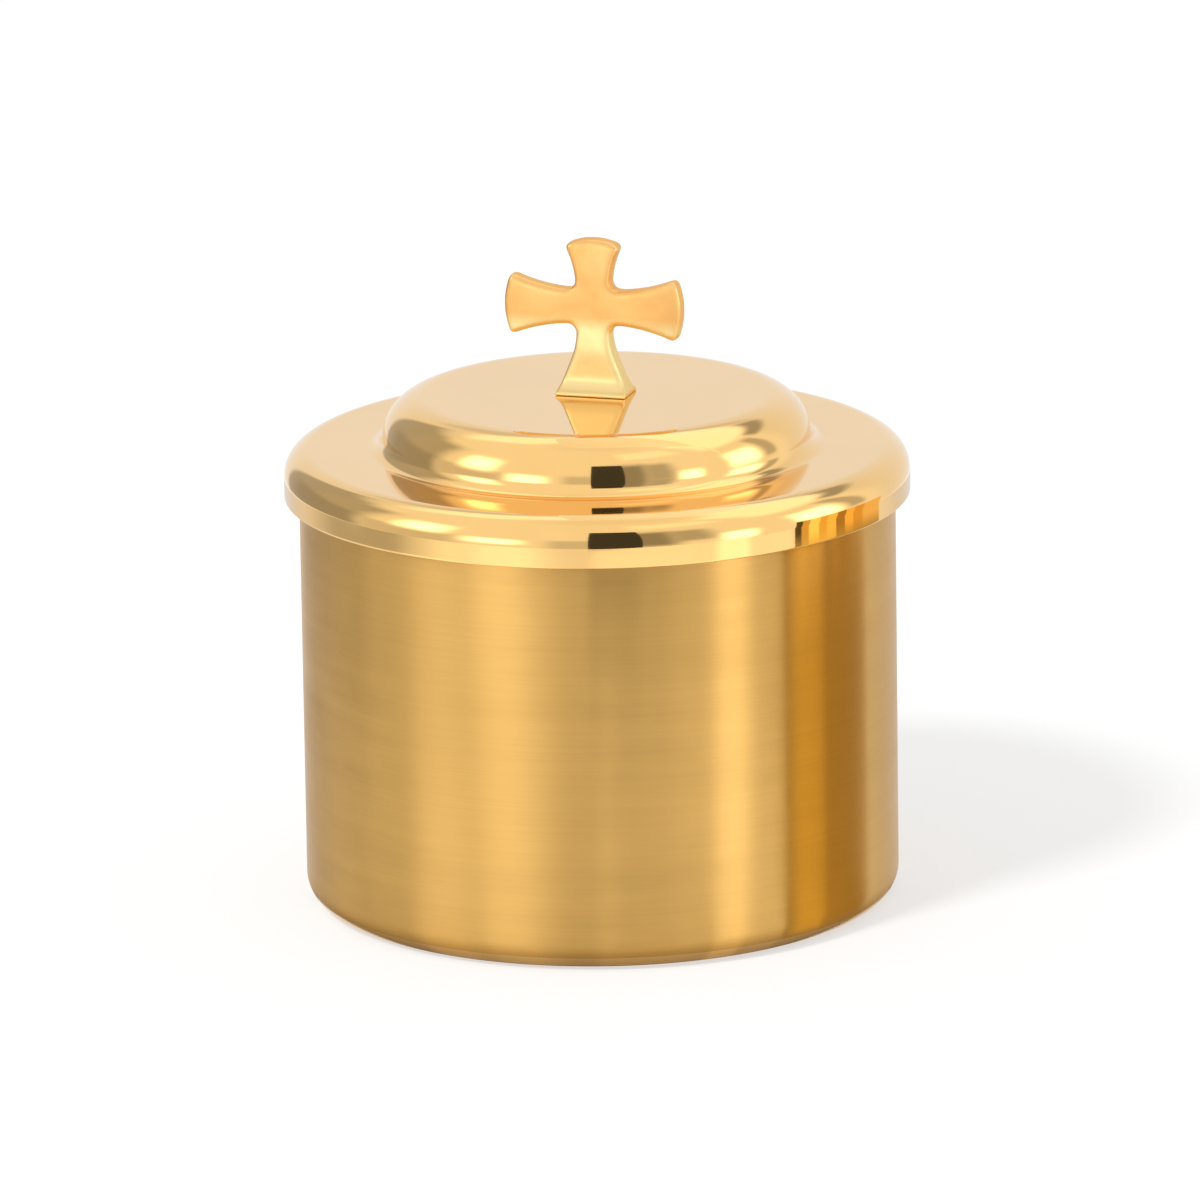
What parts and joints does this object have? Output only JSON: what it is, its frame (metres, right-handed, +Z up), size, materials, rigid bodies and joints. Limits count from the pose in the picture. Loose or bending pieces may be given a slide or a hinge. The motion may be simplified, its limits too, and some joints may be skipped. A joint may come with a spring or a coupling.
{
  "type": "pyx",
  "caption": "Round gold-coloured metal pyx: a satin straight-sided cup under a polished stepped lid that lifts off by the cast cross on top; holds communion wafers.",
  "frame": {"origin": "centre of the flat underside of the cup, on the surface it stands on", "axes": "+Z up through the cross, the front of the cross faces -Y and its arms lie along X"},
  "size_m": [0.0924, 0.0924, 0.0995],
  "materials": {
    "satin_cup": "gold-coloured, brushed round the wall to a satin",
    "polished_lid": "gold-coloured, polished to a mirror",
    "lid_inside": "gold-coloured, turned and lightly polished",
    "cast_cross": "gold-coloured casting, hand finished, soft satin",
    "fixing_brass": "plain turned brass",
    "spring_steel": "plain spring steel"
  },
  "bodies": {
    "cup": {"cup_shell": "satin_cup"},
    "lid": {"lid_cover": "polished_lid", "lid_collar": "lid_inside", "cross_finial": "cast_cross", "finial_backing_washer": "fixing_brass", "finial_lock_washer": "spring_steel", "finial_screw": "fixing_brass"}
  },
  "joints": [
    {"name": "lid_lift", "type": "slide", "parent": "cup", "child": "lid", "axis": [0, 0, 1], "range_m": [0, 0.08]}
  ]
}
